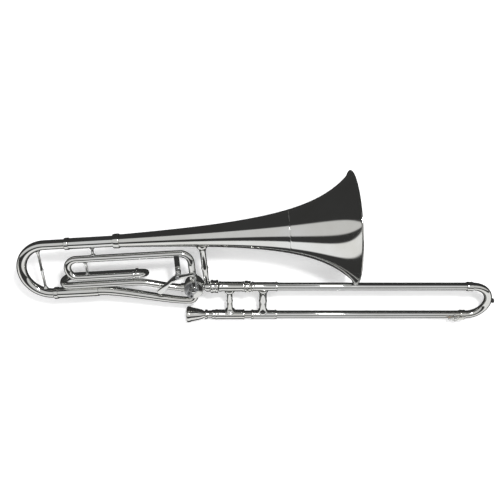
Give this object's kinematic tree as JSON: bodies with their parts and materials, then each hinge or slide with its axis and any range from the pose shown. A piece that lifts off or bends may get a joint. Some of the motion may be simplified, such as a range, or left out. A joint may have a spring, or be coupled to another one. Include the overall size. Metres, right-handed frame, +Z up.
{
  "type": "trombone",
  "caption": "Tenor-bass trombone with a rotary valve, thumb lever and closed F loop, sliding hand slide, tuning slides and cup mouthpiece, in polished silver plate.",
  "frame": {"origin": "bottom centre of the bounding box, on the surface that the instrument lies on", "axes": "+X along the slide from the mouthpiece to the slide bow, +Z up, away from the surface; the bell is on the +Y side"},
  "size_m": [1.1542, 0.367, 0.2686],
  "materials": {
    "silver": "silver plated and polished to a mirror",
    "steel": "satin",
    "cork": "natural cork",
    "rubber": "matte"
  },
  "bodies": {
    "root": {"bell_flare": "silver", "bell_stem": "silver", "bell_stem_ferrule": "silver", "tuning_sleeve_bell": "silver", "tuning_sleeve_neck": "silver", "neckpipe": "silver", "valve_casing": "silver", "valve_bearing_plate": "silver", "valve_cap": "silver", "lever_bracket": "silver", "bell_receiver": "silver", "grip_brace": "silver", "f_tube_out": "silver", "f_tube_return": "silver", "f_strut_bell": "silver", "f_strut_loop": "silver", "cork_barrel_bell": "silver", "cork_barrel_mouth": "silver", "inner_tube_bell": "silver", "inner_tube_mouth": "silver", "inner_brace": "silver", "mouthpiece_receiver": "silver", "leadpipe": "silver", "barrel_cork_bell": "cork", "barrel_cork_mouth": "cork", "valve_stop_plate": "steel", "stop_bumper_rest": "rubber", "stop_bumper_pressed": "rubber", "lever_pivot_screw": "steel", "lever_spring": "steel"},
    "tuning_slide": {"tuning_crook": "silver", "tuning_leg_bell": "silver", "tuning_leg_neck": "silver", "tuning_ferrule_bell": "silver", "tuning_ferrule_neck": "silver", "tuning_brace": "silver"},
    "f_slide": {"f_slide_bow": "silver", "f_slide_ferrule_upper": "silver", "f_slide_ferrule_lower": "silver"},
    "rotor": {"valve_rotor": "silver", "rotor_stop_arm": "steel"},
    "lever": {"thumb_lever": "silver"},
    "link": {"linkage_rod": "steel"},
    "lock_nut": {"bell_lock_nut": "silver"},
    "mouthpiece": {"mouthpiece": "silver"},
    "hand_slide": {"outer_tube_bell": "silver", "outer_tube_mouth": "silver", "oversleeve_bell": "silver", "oversleeve_mouth": "silver", "handle_brace": "silver", "slide_bow": "silver", "bow_ferrule_bell": "silver", "bow_ferrule_mouth": "silver", "bow_bumper": "rubber", "water_key_nipple": "silver", "water_key_post": "silver", "water_key_screw": "steel"},
    "slide_lock": {"slide_lock_ring": "silver"},
    "water_key": {"water_key_lever": "silver", "water_key_pad": "cork"}
  },
  "joints": [
    {"name": "hand_slide", "type": "slide", "parent": "root", "child": "hand_slide", "axis": [1, 0, 0], "range_m": [0, 0.5]},
    {"name": "slide_lock_turn", "type": "hinge", "parent": "hand_slide", "child": "slide_lock", "pos_m": [-0.03097, -0.0901, 0.07461], "axis": [1, 0, 0], "range_deg": [0, 60]},
    {"name": "water_key", "type": "hinge", "parent": "hand_slide", "child": "water_key", "pos_m": [0.48703, -0.17337, 0.0334], "axis": [0, 0.8021, 0.5972], "range_deg": [0, 9], "stiffness_Nm_per_rad": 0.08, "springref_deg": -20.05},
    {"name": "main_tuning_slide", "type": "slide", "parent": "root", "child": "tuning_slide", "axis": [-0.9984, -0.0558, 0], "range_m": [0, 0.06]},
    {"name": "f_tuning_slide", "type": "slide", "parent": "root", "child": "f_slide", "axis": [0.9984, 0.0558, 0], "range_m": [0, 0.045]},
    {"name": "thumb_lever", "type": "hinge", "parent": "root", "child": "lever", "pos_m": [-0.19438, -0.0653, 0.12906], "axis": [-0.0248, 0.4439, -0.8957], "range_deg": [0, 22.3], "stiffness_Nm_per_rad": 0.6, "springref_deg": -22.92},
    {"name": "rotor_turn", "type": "hinge", "parent": "root", "child": "rotor", "pos_m": [-0.16062, -0.09044, 0.07547], "axis": [-0.0248, 0.4439, -0.8957], "range_deg": [0, 90]},
    {"name": "link_swing", "type": "hinge", "parent": "lever", "child": "link", "pos_m": [-0.15558, -0.05619, 0.1325], "axis": [-0.0248, 0.4439, -0.8957], "range_deg": [-22.3, 0]},
    {"name": "bell_lock_nut", "type": "hinge", "parent": "root", "child": "lock_nut", "pos_m": [-0.11097, -0.09023, 0.07461], "axis": [1, 0, 0], "range_deg": [0, 720]},
    {"name": "mouthpiece_pull", "type": "slide", "parent": "root", "child": "mouthpiece", "axis": [-1, 0, 0], "range_m": [0, 0.045]}
  ],
  "couplings": [
    {"joint": "rotor_turn", "follows": "thumb_lever", "ratio": 4.0359},
    {"joint": "link_swing", "follows": "thumb_lever", "ratio": -1}
  ]
}
